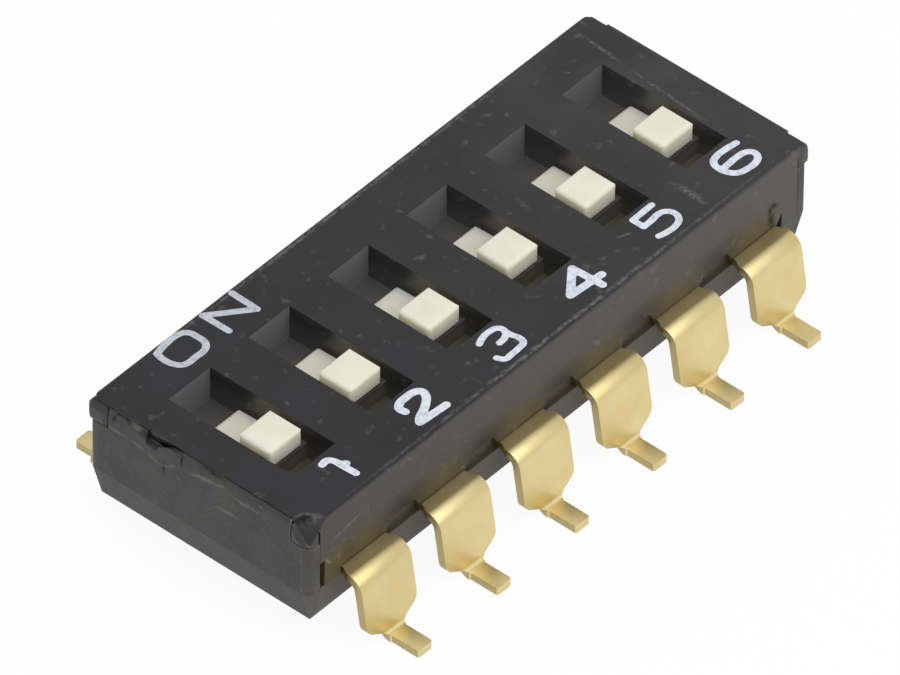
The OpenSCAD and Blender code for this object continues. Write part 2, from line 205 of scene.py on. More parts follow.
# Painted light and a painted warm reflection of the gold on the wall of the tray.
painted_side_light = add(nylon, "MixRGB", {"Color1": linear("#5A5040"), "Color2": linear("#443E35")},
              {"Fac": outer.outputs["Result"]})
at_post = add(nylon, "MapRange",
              {"From Min": end_wall_x - 0.14 * mm, "From Max": end_wall_x - 0.04 * mm},
              {"Value": along.outputs[0]})
posted = add(nylon, "MixRGB", {"Color2": linear("#383734")},
             {"Fac": at_post.outputs["Result"], "Color1": painted_side_light.outputs["Color"]})
sided = add(nylon, "MixRGB", links={"Fac": at_side.outputs["Result"], "Color1": tone.outputs["Color"],
                                    "Color2": posted.outputs["Color"]})

# The notches for the ears, painted pale: painted light against the shade in them.
over_seat = add(nylon, "MapRange", {"From Min": notch_z - 0.008 * mm, "From Max": notch_z - 0.002 * mm},
                {"Value": axes.outputs["Z"]})
beside_ear = add(nylon, "MapRange", {"From Min": notch_y - 0.01 * mm, "From Max": notch_y - 0.003 * mm},
                 {"Value": sideways.outputs[0]})
in_notch = add(nylon, "Math", {"operation": "MULTIPLY"},
               {0: over_seat.outputs["Result"], 1: beside_ear.outputs["Result"]})
# Painted light in the notches, against their shade.
notch_painted_light = add(nylon, "MixRGB", {"Color2": linear("#6A6964")},
             {"Fac": in_notch.outputs[0], "Color1": sided.outputs["Color"]})

# The end faces, with the ends of the fibres.
at_end = add(nylon, "MapRange", {"From Min": half_length - 0.24 * mm, "From Max": half_length - 0.11 * mm},
             {"Value": along.outputs[0]})
fibre = add(nylon, "TexNoise", {"Scale": 1 / fibre_size, "Detail": 4.0, "Roughness": 0.65},
            {"Vector": place.outputs["Object"]})
fleck = add(nylon, "MapRange", {"From Min": 0.6, "From Max": 0.72, "To Max": 0.5},
            {"Value": fibre.outputs["Fac"]})
end_fleck = add(nylon, "Math", {"operation": "MULTIPLY"},
                {0: fleck.outputs["Result"], 1: at_end.outputs["Result"]})
flecked = add(nylon, "MixRGB", {"Color2": linear("#6C6A63")},
              {"Fac": end_fleck.outputs[0], "Color1": notch_painted_light.outputs["Color"]})

# The torn lip beside the first switch: cracks painted near black, a painted shade in them, and
# pale edges where the nylon was bruised.
cracks = [((-8.09, 2.42, 3.34), (-8.05, 2.36, 3.6), 0.05),
          ((-8.05, 2.36, 3.61), (-7.99, 2.2, 3.64), 0.05),
          ((-8.0, 2.2, 3.63), (-8.04, 1.93, 3.6), 0.06),
          ((-8.06, 1.62, 3.52), (-8.05, 1.1, 3.6), 0.15),
          ((-8.03, 1.3, 3.6), (-8.04, 0.4, 3.62), 0.08),
          ((-8.05, 0.49, 3.6), (-8.09, 0.49, 3.3), 0.05),
          ((-8.09, 0.97, 3.14), (-8.09, 0.97, 2.74), 0.04),
          ((-8.05, 0.0, 3.62), (-8.05, -0.8, 3.6), 0.06)]
bruises = [((-8.04, 1.86, 3.58), (-8.04, 1.66, 3.58), 0.1),
           ((-8.09, 2.67, 3.17), (-8.09, 1.96, 3.14), 0.05),
           ((-8.09, 1.96, 3.14), (-8.09, 1.48, 3.1), 0.05),
           ((-8.09, 1.48, 3.1), (-8.09, 1.1, 2.95), 0.05),
           ((-8.09, 1.06, 2.95), (-8.09, 0.6, 3.2), 0.05),
           ((-8.09, 0.5, 3.2), (-8.09, -0.9, 3.45), 0.07),
           ((-8.09, -0.47, 2.77), (-8.09, -1.2, 2.78), 0.06),
           ((-8.09, -0.9, 3.3), (-8.09, -1.8, 3.3), 0.06),
           ((-7.9, -3.09, 1.9), (-7.45, -3.1, 1.78), 0.07)]
frayed = ragged(nylon, place.outputs["Object"], crack_fray, crack_stray)
crack = streaks(nylon, frayed, cracks)
bruise = streaks(nylon, frayed, bruises)
pale = add(nylon, "Math", {"operation": "MULTIPLY", 1: 0.3}, {0: bruise})
bruised = add(nylon, "MixRGB", {"Color2": linear("#8A877E")},
              {"Fac": pale.outputs[0], "Color1": flecked.outputs["Color"]})
shade = add(nylon, "Math", {"operation": "MULTIPLY", 1: 0.85}, {0: crack})
# Cracks painted near black: a painted shade.
crack_shade_painted = add(nylon, "MixRGB", {"Color2": linear("#060606")},
              {"Fac": shade.outputs[0], "Color1": bruised.outputs["Color"]})
join(nylon, crack_shade_painted.outputs["Color"], nylon_shader.inputs["Base Color"])

# No gloss in a crack, and a skin that is uneven from the fibres and torn at the ends.
glint = add(nylon, "MapRange", {"To Min": 0.5, "To Max": 0.15}, {"Value": crack})
join(nylon, glint.outputs["Result"], nylon_shader.inputs["Specular IOR Level"])
matt = add(nylon, "MapRange", {"To Min": 0.42, "To Max": 0.62}, {"Value": fibre.outputs["Fac"]})
join(nylon, matt.outputs["Result"], nylon_shader.inputs["Roughness"])
torn = add(nylon, "TexNoise", {"Scale": 1 / tear_size, "Detail": 6.0, "Roughness": 0.7},
           {"Vector": place.outputs["Object"]})
depth = add(nylon, "Math", {"operation": "MULTIPLY"}, {0: torn.outputs["Fac"], 1: at_end.outputs["Result"]})
waves = add(nylon, "Bump", {"Strength": 0.5, "Distance": tear_depth}, {"Height": depth.outputs[0]})
sunken = add(nylon, "Bump", {"Strength": 0.7, "Distance": crack_depth, "invert": True},
             {"Height": crack, "Normal": waves.outputs["Normal"]})
skin = add(nylon, "Bump", {"Strength": 0.3, "Distance": fibre_depth},
           {"Height": fibre.outputs["Fac"], "Normal": sunken.outputs["Normal"]})
join(nylon, skin.outputs["Normal"], nylon_shader.inputs["Normal"])

base = eased_copy("base", "moulded_base", base_edge)
base.data.materials.clear()
base.data.materials.append(nylon)
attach(base, "housing")

# ---- Terminals ----
# Gull-wing terminals, stamped from brass strip, bent and gold-plated. Twelve alike, six along
# each side, held by the base, which is moulded round them.

terminal_edge = 0.035 * mm  # rounded by stamping and plating
rolling_size = 0.06 * mm  # width of the rolling lines, drawn coarser than real so that they show
rolling_along = 0.12  # scale of their pattern along the strip, which draws it out into lines
rolling_depth = 0.006 * mm
plating_size = 0.8 * mm  # patches of thicker and thinner gold

# Gold over nickel on rolled brass: bright but not polished, with faint rolling lines along the
# strip and a warmer shade where the plating is thick. The sheared sides are painted darker and
# duller, a painted shade on them.
gold, gold_shader = new_material("gold_plated_brass_strip")
place = add(gold, "TexCoord")
drawn = add(gold, "Mapping", {"Scale": (1.0, rolling_along, rolling_along)},
            {"Vector": place.outputs["Object"]})
rolling = add(gold, "TexNoise", {"Scale": 1 / rolling_size, "Detail": 2.0},
              {"Vector": drawn.outputs["Vector"]})
warm = add(gold, "TexNoise", {"Scale": 1 / plating_size, "Detail": 3.0},
           {"Vector": place.outputs["Object"]})
tint = add(gold, "ValToRGB", links={"Fac": warm.outputs["Fac"]})
thick, thin = tint.color_ramp.elements
thick.position, thick.color = 0.3, linear("#DFCB91")
thin.position, thin.color = 0.7, linear("#E5D5A1")
faces = add(gold, "SeparateXYZ", links={"Vector": place.outputs["Normal"]})
across_strip = add(gold, "Math", {"operation": "ABSOLUTE"}, {0: faces.outputs["X"]})
# The sheared sides are painted darker: a painted shade.
sheared_side_shade = add(gold, "MapRange", {"From Min": 0.8, "From Max": 0.98, "To Max": 0.55},
              {"Value": across_strip.outputs[0]})
edged = add(gold, "MixRGB", {"Color2": linear("#86764A")},
            {"Fac": sheared_side_shade.outputs["Result"], "Color1": tint.outputs["Color"]})
join(gold, edged.outputs["Color"], gold_shader.inputs["Base Color"])
gold_shader.inputs["Metallic"].default_value = 1.0
satin = add(gold, "MapRange", {"To Min": 0.36, "To Max": 0.48}, {"Value": rolling.outputs["Fac"]})
join(gold, satin.outputs["Result"], gold_shader.inputs["Roughness"])
lines = add(gold, "Bump", {"Strength": 0.12, "Distance": rolling_depth},
            {"Height": rolling.outputs["Fac"]})
join(gold, lines.outputs["Normal"], gold_shader.inputs["Normal"])

for row in ("number_side", "on_side"):
    for n in range(1, 7):
        terminal = eased_copy("%s_terminal_%d" % (row, n), "%s_lead_%d" % (row, n), terminal_edge)
        terminal.data.materials.clear()
        terminal.data.materials.append(gold)
        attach(terminal, "housing")

# ---- Contact springs ----
# Thin gold-plated copper strip, one under each slider, pressed on its pin. They are closed in
# by the cover, so the CAD shape stays and only takes the metal.

for n in range(1, 7):
    spring = frame["nodes"]["contact_spring_%d" % n]
    spring.data.materials.clear()
    spring.data.materials.append(gold)

# ---- Sliders ----
# The six knobs, moulded in cream-white polyamide, each with its leg and stem in one piece. They
# run in the slots of the cover, between its stop bars and the far ends of the slots.

slider_edge = 0.04 * mm  # the mould rounds the knobs this much
milk_size = 0.5 * mm  # patches of a slightly different cream
dimple_size = 0.1 * mm  # the skin left by the mould, drawn coarser than real so that it shows
dimple_depth = 0.01 * mm
glow_depth = 1.2 * mm  # how far light spreads in the cream

# Unfilled polyamide, smooth from the mould: a warm white that lets a little light in.
polyamide, polyamide_shader = new_material("polyamide_moulded_cream")
place = add(polyamide, "TexCoord")
milk = add(polyamide, "TexNoise", {"Scale": 1 / milk_size, "Detail": 3.0},
           {"Vector": place.outputs["Object"]})
cream = add(polyamide, "ValToRGB", links={"Fac": milk.outputs["Fac"]})
dense, clear = cream.color_ramp.elements
dense.position, dense.color = 0.3, linear("#DCD9C4")
clear.position, clear.color = 0.7, linear("#E3E0D0")
join(polyamide, cream.outputs["Color"], polyamide_shader.inputs["Base Color"])
polyamide_shader.inputs["Roughness"].default_value = 0.6
polyamide_shader.inputs["Subsurface Weight"].default_value = 0.7
polyamide_shader.inputs["Subsurface Radius"].default_value = (0.4, 0.35, 0.2)
polyamide_shader.inputs["Subsurface Scale"].default_value = glow_depth
soft = add(polyamide, "TexNoise", {"Scale": 1 / dimple_size, "Detail": 2.0},
           {"Vector": place.outputs["Object"]})
dimple = add(polyamide, "Bump", {"Strength": 0.06, "Distance": dimple_depth},
             {"Height": soft.outputs["Fac"]})
join(polyamide, dimple.outputs["Normal"], polyamide_shader.inputs["Normal"])

for n in range(1, 7):
    slider = eased_copy("slider_%d" % n, "cream_knob_%d" % n, slider_edge)
    slider.data.materials.clear()
    slider.data.materials.append(polyamide)
    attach(slider, "switch_%d" % n)

# ---- Cover ----
# The plate with the six slots and the two skirts, moulded in black nylon in one piece. Its
# corner ears seat in the notches of the base's end walls, and its skirts on the terminals.

cover_edge = 0.005 * mm  # as on the base
_, ear_y, top_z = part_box("cover")[1]  # outer side of the ears, and the top face
slot_floor_z = top_z - 0.9 * mm  # the slots are this deep
slot_end_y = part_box("slider_1")[1][1] + 0.85 * mm  # past a slider, its travel and a gap
plate_end_x = half_length - 0.1 * mm  # edge of the plate, inside the lip of the base
strip_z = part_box("number_side_terminal_1")[1][2]  # top of the strip of a terminal
last_terminal_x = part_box("number_side_terminal_6")[1][0]  # outer side of the last terminals
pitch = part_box("number_side_terminal_2")[1][0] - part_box("number_side_terminal_1")[1][0]
# The olive glow round the knobs in the slots is painted light, reflected from the cream knobs.
knob_glow_y = -0.2 * mm  # middle of the length of a slot that takes the painted glow of its knob
knob_glow_half = 0.5 * mm  # half its length high up in the slot
knob_glow_fade = 0.35 * mm  # past that it thins out over this length
knob_glow_more = 0.75 * mm  # how much further it reaches at the floor, either way
cover_patch_size = 1.6 * mm  # patches of a slightly different black
grain_size = 0.09 * mm  # the eroded grain of the mould, drawn coarser than real so that it shows
grain_depth = 0.01 * mm
dust_size = 0.3 * mm  # distance between specks of dust
wear_fray, wear_stray = 0.15 * mm, 0.1 * mm  # waves of a ragged edge, and how far they stray
chip_depth = 0.05 * mm

# The same nylon from a finer mould: an even blue-black on top, paler and matt inside the slots,
# where light and shade are painted, and a thin pale line painted along the two long edges. The
# skirts are greyer.
fine, fine_shader = new_material("glass_filled_nylon_fine_black")
place = add(fine, "TexCoord")
axes = add(fine, "SeparateXYZ", links={"Vector": place.outputs["Object"]})
ends = add(fine, "Math", {"operation": "ABSOLUTE"}, {0: axes.outputs["X"]})
aside = add(fine, "Math", {"operation": "ABSOLUTE"}, {0: axes.outputs["Y"]})
frayed = ragged(fine, place.outputs["Object"], wear_fray, wear_stray)
loose = add(fine, "SeparateXYZ", links={"Vector": frayed})
cloud = add(fine, "TexNoise", {"Scale": 1 / cover_patch_size, "Detail": 4.0},
            {"Vector": place.outputs["Object"]})
tone = add(fine, "ValToRGB", links={"Fac": cloud.outputs["Fac"]})
darkest, palest = tone.color_ramp.elements
darkest.position, darkest.color = 0.35, linear("#0E0E12")
palest.position, palest.color = 0.7, linear("#18181D")

# A warm reflection of the gold terminals is painted on the foot of the skirts: paler at each
# terminal, with painted shade darker between two, over the notches, and a painted contact
# shadow darkest in the crease on the strips. The skirt beyond the last terminal is spared.
turns = add(fine, "Math", {"operation": "MULTIPLY", 1: 2 * math.pi / pitch}, {0: loose.outputs["X"]})
wave = add(fine, "Math", {"operation": "COSINE"}, {0: turns.outputs[0]})
between = add(fine, "MapRange", {"From Min": -1.0, "From Max": 1.0}, {"Value": wave.outputs[0]})
among = add(fine, "MapRange",
            {"From Min": last_terminal_x - 0.05 * mm, "From Max": last_terminal_x - 0.35 * mm},
            {"Value": ends.outputs[0]})
notches = add(fine, "Math", {"operation": "MULTIPLY"},
              {0: between.outputs["Result"], 1: among.outputs["Result"]})
# Painted warm reflection of the gold at each terminal, painted shade between two.
skirt_gold_reflection_and_shade = add(fine, "MixRGB", {"Color1": linear("#493F27"), "Color2": linear("#1C160D")},
           {"Fac": notches.outputs[0]})
down = add(fine, "MapRange", {"From Min": strip_z + 0.89 * mm, "From Max": strip_z + 0.44 * mm},
           {"Value": loose.outputs["Z"]})
spared = add(fine, "MapRange",
             {"From Min": last_terminal_x + 0.1 * mm, "From Max": last_terminal_x - 0.15 * mm},
             {"Value": axes.outputs["X"]})
spread = add(fine, "Math", {"operation": "MULTIPLY"},
             {0: down.outputs["Result"], 1: spared.outputs["Result"]})
side = add(fine, "MixRGB", {"Color1": linear("#3D3B37")},
           {"Fac": spread.outputs[0], "Color2": skirt_gold_reflection_and_shade.outputs["Color"]})
on_strip = add(fine, "MapRange",
               {"From Min": strip_z + 0.1 * mm, "From Max": strip_z + 0.03 * mm, "To Max": 0.9},
               {"Value": loose.outputs["Z"]})
crease = add(fine, "Math", {"operation": "MULTIPLY"},
             {0: on_strip.outputs["Result"], 1: among.outputs["Result"]})
# A painted contact shadow in the crease on the strips.
contact_shadow_painted = add(fine, "MixRGB", {"Color2": linear("#120B06")},
              {"Fac": crease.outputs[0], "Color1": side.outputs["Color"]})

# That colour is on the outer face of the skirts, and low down inside them.
skirt = add(fine, "MapRange", {"From Min": half_width - 0.065 * mm, "From Max": half_width - 0.015 * mm},
            {"Value": aside.outputs[0]})
inner = add(fine, "MapRange", {"From Min": half_width - 0.265 * mm, "From Max": half_width - 0.215 * mm},
            {"Value": aside.outputs[0]})
low_down = add(fine, "MapRange",
               {"From Min": slot_floor_z + 0.25 * mm, "From Max": slot_floor_z + 0.15 * mm},
               {"Value": axes.outputs["Z"]})
tucked = add(fine, "Math", {"operation": "MULTIPLY"},
             {0: inner.outputs["Result"], 1: low_down.outputs["Result"]})
on_skirt = add(fine, "Math", {"operation": "MAXIMUM"},
               {0: skirt.outputs["Result"], 1: tucked.outputs[0]})
skirted = add(fine, "MixRGB", links={"Fac": on_skirt.outputs[0], "Color1": tone.outputs["Color"],
                                     "Color2": contact_shadow_painted.outputs["Color"]})
at_ear = add(fine, "MapRange", {"From Min": plate_end_x + 0.01 * mm, "From Max": plate_end_x + 0.04 * mm},
             {"Value": ends.outputs[0]})
eared = add(fine, "MixRGB", {"Color2": linear("#2C2C2B")},
            {"Fac": at_ear.outputs["Result"], "Color1": skirted.outputs["Color"]})

# The walls of the slots are painted with light and shade: pale at the floor, painted shade
# darker towards the top, and painted light palest on the lit wall at the ON end.
inward = add(fine, "MapRange", {"From Min": slot_end_y + 0.69 * mm, "From Max": slot_end_y + 0.49 * mm},
             {"Value": aside.outputs[0]})
sunk = add(fine, "MapRange", {"From Min": top_z - 0.002 * mm, "From Max": top_z - 0.01 * mm},
           {"Value": axes.outputs["Z"]})
in_slot = add(fine, "Math", {"operation": "MULTIPLY"},
              {0: inward.outputs["Result"], 1: sunk.outputs["Result"]})
above_floor = add(fine, "MapRange",
                  {"From Min": slot_floor_z + 0.01 * mm, "From Max": slot_floor_z + 0.65 * mm},
                  {"Value": axes.outputs["Z"]})
walls = add(fine, "MixRGB", {"Color1": linear("#4E4D4E"), "Color2": linear("#262628")},
            {"Fac": above_floor.outputs["Result"]})
at_far = add(fine, "MapRange", {"From Min": slot_end_y - 0.01 * mm, "From Max": slot_end_y - 0.002 * mm},
             {"Value": axes.outputs["Y"]})
# Painted light on the ON end wall of each slot.
slot_end_painted_light = add(fine, "MixRGB", {"Color2": linear("#68686B")},
             {"Fac": at_far.outputs["Result"], "Color1": walls.outputs["Color"]})
slotted = add(fine, "MixRGB", links={"Fac": in_slot.outputs[0], "Color1": eared.outputs["Color"],
                                     "Color2": slot_end_painted_light.outputs["Color"]})

# A painted glow, the cream knobs' light reflected on the black, lies in the slots round the
# sliders, and reaches further beside their legs.
off_middle = add(fine, "Math", {"operation": "SUBTRACT", 1: knob_glow_y}, {0: axes.outputs["Y"]})
from_middle = add(fine, "Math", {"operation": "ABSOLUTE"}, {0: off_middle.outputs[0]})
at_leg = add(fine, "MapRange", {"From Min": slot_floor_z + 0.35 * mm, "From Max": slot_floor_z + 0.05 * mm,
                                "To Max": knob_glow_more}, {"Value": axes.outputs["Z"]})
from_slider = add(fine, "Math", {"operation": "SUBTRACT"},
                  {0: from_middle.outputs[0], 1: at_leg.outputs["Result"]})
near_slider = add(fine, "MapRange",
                  {"From Min": knob_glow_half + knob_glow_fade, "From Max": knob_glow_half, "To Max": 0.5},
                  {"Value": from_slider.outputs[0]})
knob_glow = add(fine, "Math", {"operation": "MULTIPLY"},
             {0: near_slider.outputs["Result"], 1: in_slot.outputs[0]})
# Painted glow of the cream knobs, reflected on the black.
knob_glow_painted = add(fine, "MixRGB", {"Color2": linear("#605B40")},
              {"Fac": knob_glow.outputs[0], "Color1": slotted.outputs["Color"]})

# A thin pale line is painted where the long edges begin to turn down. Scuffs run over the
# chipped corner, the skirt and the top; chips beside the lip and at the chipped ear are painted
# near black, a painted shade in their gaps; and a hooked dent lies over the last terminal.
pale_edge_lines = [((-7.6, -2.97, 3.65), (7.7, -2.95, 3.65), 0.07),
              ((-7.6, 3.0, 3.65), (7.7, 3.0, 3.65), 0.06)]
scuffs = [((-8.06, -2.54, 3.62), (-7.72, -2.64, 3.65), 0.07),
          ((-7.72, -2.64, 3.65), (-7.54, -3.0, 3.65), 0.07),
          ((-7.68, -3.06, 3.63), (-7.66, -3.08, 3.6), 0.09),
          ((-7.65, -3.12, 2.54), (-7.3, -3.12, 2.2), 0.06),
          ((-7.5, -3.12, 2.85), (-6.2, -3.12, 3.12), 0.05),
          ((7.43, 2.96, 3.65), (7.29, 1.36, 3.65), 0.05),
          ((7.29, 1.36, 3.65), (7.1, -1.24, 3.65), 0.05),
          ((6.25, 2.25, 3.65), (6.37, 2.15, 3.65), 0.04),
          ((3.1, -2.0, 3.65), (3.4, -2.15, 3.65), 0.05),
          ((5.17, -1.85, 3.65), (5.15, -2.75, 3.65), 0.12),
          ((7.5, -3.0, 3.65), (7.6, -3.07, 3.62), 0.08),
          ((7.6, -3.1, 3.36), (7.63, -3.1, 3.3), 0.05),
          ((7.7, -3.1, 2.05), (7.8, -3.1, 2.0), 0.06)]
chips = [((-8.0, -2.68, 3.68), (-7.86, -2.84, 3.68), 0.2),
         ((-8.1, -3.1, 3.5), (-8.08, -3.08, 2.95), 0.07),
         ((-7.99, 1.6, 3.42), (-7.99, 0.4, 3.42), 0.2)]
dents = [((7.08, -3.12, 2.5), (6.86, -3.12, 2.6), 0.12),
         ((6.84, -3.12, 2.6), (6.84, -3.12, 2.35), 0.11),
         ((6.84, -3.12, 2.4), (6.94, -3.12, 1.95), 0.14)]
pale_edge_line = streaks(fine, frayed, pale_edge_lines)
scuff = streaks(fine, frayed, scuffs)
chip = streaks(fine, frayed, chips)
dent = streaks(fine, frayed, dents)
grain = add(fine, "TexNoise", {"Scale": 1 / grain_size, "Detail": 3.0},
            {"Vector": place.outputs["Object"]})
both = add(fine, "Math", {"operation": "MAXIMUM"}, {0: pale_edge_line, 1: scuff})
rubbed = add(fine, "MapRange", {"From Min": 0.35, "From Max": 0.62, "To Max": 0.5},
             {"Value": grain.outputs["Fac"]})
pale_lines_and_scuffs = add(fine, "Math", {"operation": "MULTIPLY"}, {0: both.outputs[0], 1: rubbed.outputs["Result"]})
edged = add(fine, "MixRGB", {"Color2": linear("#8D8A83")},
            {"Fac": pale_lines_and_scuffs.outputs[0], "Color1": knob_glow_painted.outputs["Color"]})

# Dust: a few specks, and a thin film that grows towards the last switch.
dust = add(fine, "TexNoise", {"Scale": 1 / dust_size, "Detail": 2.0},
           {"Vector": place.outputs["Object"]})
speck = add(fine, "MapRange", {"From Min": 0.64, "From Max": 0.85, "To Max": 0.2},
            {"Value": dust.outputs["Fac"]})
haze = add(fine, "MapRange", {"From Min": -half_length / 2, "From Max": half_length, "To Max": 0.07},
           {"Value": axes.outputs["X"]})
film_of_dust = add(fine, "Math", {"operation": "MULTIPLY"},
                   {0: haze.outputs["Result"], 1: cloud.outputs["Fac"]})
all_dust = add(fine, "Math", {"operation": "ADD"}, {0: film_of_dust.outputs[0], 1: speck.outputs["Result"]})
dusty = add(fine, "MixRGB", {"Color2": linear("#A8A7A2")},
            {"Fac": all_dust.outputs[0], "Color1": edged.outputs["Color"]})
dim = add(fine, "Math", {"operation": "MULTIPLY", 1: 0.8}, {0: dent})
dented = add(fine, "MixRGB", {"Color2": linear("#0A0806")},
             {"Fac": dim.outputs[0], "Color1": dusty.outputs["Color"]})
# Chips painted near black, a painted shade in their gaps.
chip_shade_painted = add(fine, "MixRGB", {"Color2": linear("#030303")},
              {"Fac": chip, "Color1": dented.outputs["Color"]})
join(fine, chip_shade_painted.outputs["Color"], fine_shader.inputs["Base Color"])

# No gloss in chips and dents. The top is a little glossier than the skirts.
dull = add(fine, "Math", {"operation": "MAXIMUM"}, {0: dim.outputs[0], 1: chip})
glint = add(fine, "MapRange", {"To Min": 0.45, "To Max": 0.0}, {"Value": dull.outputs[0]})
join(fine, glint.outputs["Result"], fine_shader.inputs["Specular IOR Level"])
outward = add(fine, "MapRange", {"From Min": half_width - 0.215 * mm, "From Max": half_width - 0.065 * mm,
                                 "To Min": 0.36, "To Max": 0.5}, {"Value": aside.outputs[0]})
uneven = add(fine, "MapRange", {"To Min": -0.05, "To Max": 0.12}, {"Value": grain.outputs["Fac"]})
gloss = add(fine, "Math", {"operation": "ADD"}, {0: outward.outputs["Result"], 1: uneven.outputs["Result"]})
join(fine, gloss.outputs[0], fine_shader.inputs["Roughness"])
sunken = add(fine, "Bump", {"Strength": 0.7, "Distance": chip_depth, "invert": True}, {"Height": chip})
skin = add(fine, "Bump", {"Strength": 0.2, "Distance": grain_depth},
           {"Height": grain.outputs["Fac"], "Normal": sunken.outputs["Normal"]})
join(fine, skin.outputs["Normal"], fine_shader.inputs["Normal"])

cover = eased_copy("cover", "moulded_cover", cover_edge)

# The outer part of each ear grows by a hair, down and inwards from its outer top edge, and
# closes the ear's seams with its notch.
ear_w, ear_h = 0.6 * mm, 0.56 * mm  # width along the end face, and height
ear_top_z = top_z - 0.04 * mm
ear_seam = 0.008 * mm  # how far an ear grows
ear_from_x = plate_end_x + 0.01 * mm  # the ears alone reach out past this
for row in (-1, 1):
    only(cover)
    bpy.ops.object.mode_set(mode="EDIT")
    bpy.ops.mesh.select_mode(type="VERT")
    bpy.ops.mesh.select_all(action="DESELECT")
    bpy.ops.object.mode_set(mode="OBJECT")
    for point in cover.data.vertices:
        point.select = abs(point.co.x) > ear_from_x and point.co.y * row > 0
    bpy.ops.object.mode_set(mode="EDIT")
    bpy.ops.transform.resize(value=(1, 1 + ear_seam / ear_w, 1 + ear_seam / ear_h),
                             center_override=(0, row * ear_y, ear_top_z))
    bpy.ops.object.mode_set(mode="OBJECT")
cover.data.materials.clear()
cover.data.materials.append(fine)
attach(cover, "housing")

# ---- Print ----
# The word ON and the numbers 1 to 6, pad-printed in white ink on the cover. The ink lies in a
# thin domed film with slightly ragged edges.

film = 0.012 * mm  # thickness of the ink
film_sunk = 0.2 * film  # how far the film reaches into the cover, so that it lies on it closely
film_grid = 0.016 * mm  # the strokes of a sign are fused on a grid of this size
curve_steps, pen_steps = 10, 3  # how finely a stroke is cut up along its curve and round the pen
cap_segments, cap_rings = 16, 8  # the same for the round ends of a stroke
on_side_y = 1.0 * mm  # the word lies beyond this line
ink_patch_size = 0.1 * mm  # patches of thicker and thinner ink

# Pad-printing ink: flat white with a cold cast, thin in places so that the black shows. The
# word is more worn than the numbers, and so greyer.
ink, ink_shader = new_material("pad_printing_ink_white")
place = add(ink, "TexCoord")
thinness = add(ink, "TexNoise", {"Scale": 1 / ink_patch_size, "Detail": 4.0},
               {"Vector": place.outputs["Object"]})
white = add(ink, "ValToRGB", links={"Fac": thinness.outputs["Fac"]})
thin, full = white.color_ramp.elements
thin.position, thin.color = 0.3, linear("#B2BAC6")
full.position, full.color = 0.55, linear("#D6DDE8")
axes = add(ink, "SeparateXYZ", links={"Vector": place.outputs["Object"]})
word = add(ink, "MapRange", {"From Min": 0.0, "From Max": on_side_y, "To Max": 0.34},
           {"Value": axes.outputs["Y"]})
greyed = add(ink, "MixRGB", {"Color2": linear("#5F6870")},
             {"Fac": word.outputs["Result"], "Color1": white.outputs["Color"]})
join(ink, greyed.outputs["Color"], ink_shader.inputs["Base Color"])
ink_shader.inputs["Roughness"].default_value = 0.6

# Each sign has half the width of its pen stroke, then a few strokes as points in millimetres on
# the top of the cover. A stroke runs as a smooth curve through its points.
signs = {
    "O": (0.085, [[(-6.13, 2.92), (-5.8, 2.98), (-5.4, 2.98), (-5.22, 2.88), (-5.17, 2.62),
                   (-5.2, 2.38), (-5.33, 2.26), (-5.65, 2.24), (-6.0, 2.27), (-6.13, 2.43),
                   (-6.17, 2.72), (-6.13, 2.92)]]),
    "N": (0.085, [[(-3.67, 2.98), (-3.69, 2.25)], [(-3.69, 2.25), (-4.6, 2.98)],
                  [(-4.6, 2.98), (-4.59, 2.25)]]),
    "1": (0.09, [[(-6.36, -1.95), (-6.2, -1.94), (-6.12, -2.04), (-6.1, -2.3), (-6.08, -2.65)],
                 [(-6.1, -2.2), (-5.99, -2.3)]]),
    "2": (0.1, [[(-3.98, -2.19), (-3.99, -2.03), (-3.85, -1.93), (-3.64, -1.91), (-3.42, -1.93),
                 (-3.28, -2.03), (-3.32, -2.19), (-3.49, -2.34), (-3.69, -2.45), (-3.91, -2.54),
                 (-4.01, -2.62)], [(-4.02, -2.64), (-3.24, -2.7)]]),
    "3": (0.08, [[(-1.37, -1.99), (-1.19, -1.92), (-0.94, -1.9), (-0.73, -1.97), (-0.71, -2.14),
                  (-0.88, -2.27), (-1.06, -2.29)],
                 [(-0.71, -2.14), (-0.7, -2.32), (-0.66, -2.49), (-0.7, -2.65), (-0.92, -2.7),
                  (-1.16, -2.71), (-1.36, -2.7), (-1.45, -2.55)]]),
    "4": (0.1, [[(1.71, -1.93), (1.05, -2.45)], [(1.71, -1.93), (1.76, -2.74)],
                [(1.05, -2.45), (1.99, -2.52)]]),
    "5": (0.08, [[(4.34, -1.9), (3.71, -1.91)], [(3.71, -1.91), (3.71, -2.22)],
                 [(3.71, -2.22), (3.99, -2.21), (4.2, -2.19), (4.38, -2.25), (4.47, -2.44),
                  (4.38, -2.63), (4.16, -2.71), (3.92, -2.7), (3.7, -2.65)]]),
    "6": (0.085, [[(7.02, -1.98), (6.73, -1.94), (6.36, -1.95), (6.22, -2.03), (6.16, -2.23),
                   (6.2, -2.45), (6.33, -2.62), (6.57, -2.69), (6.84, -2.69), (7.0, -2.6),
                   (7.04, -2.44), (6.93, -2.32), (6.68, -2.28), (6.38, -2.29), (6.18, -2.3)]]),
}
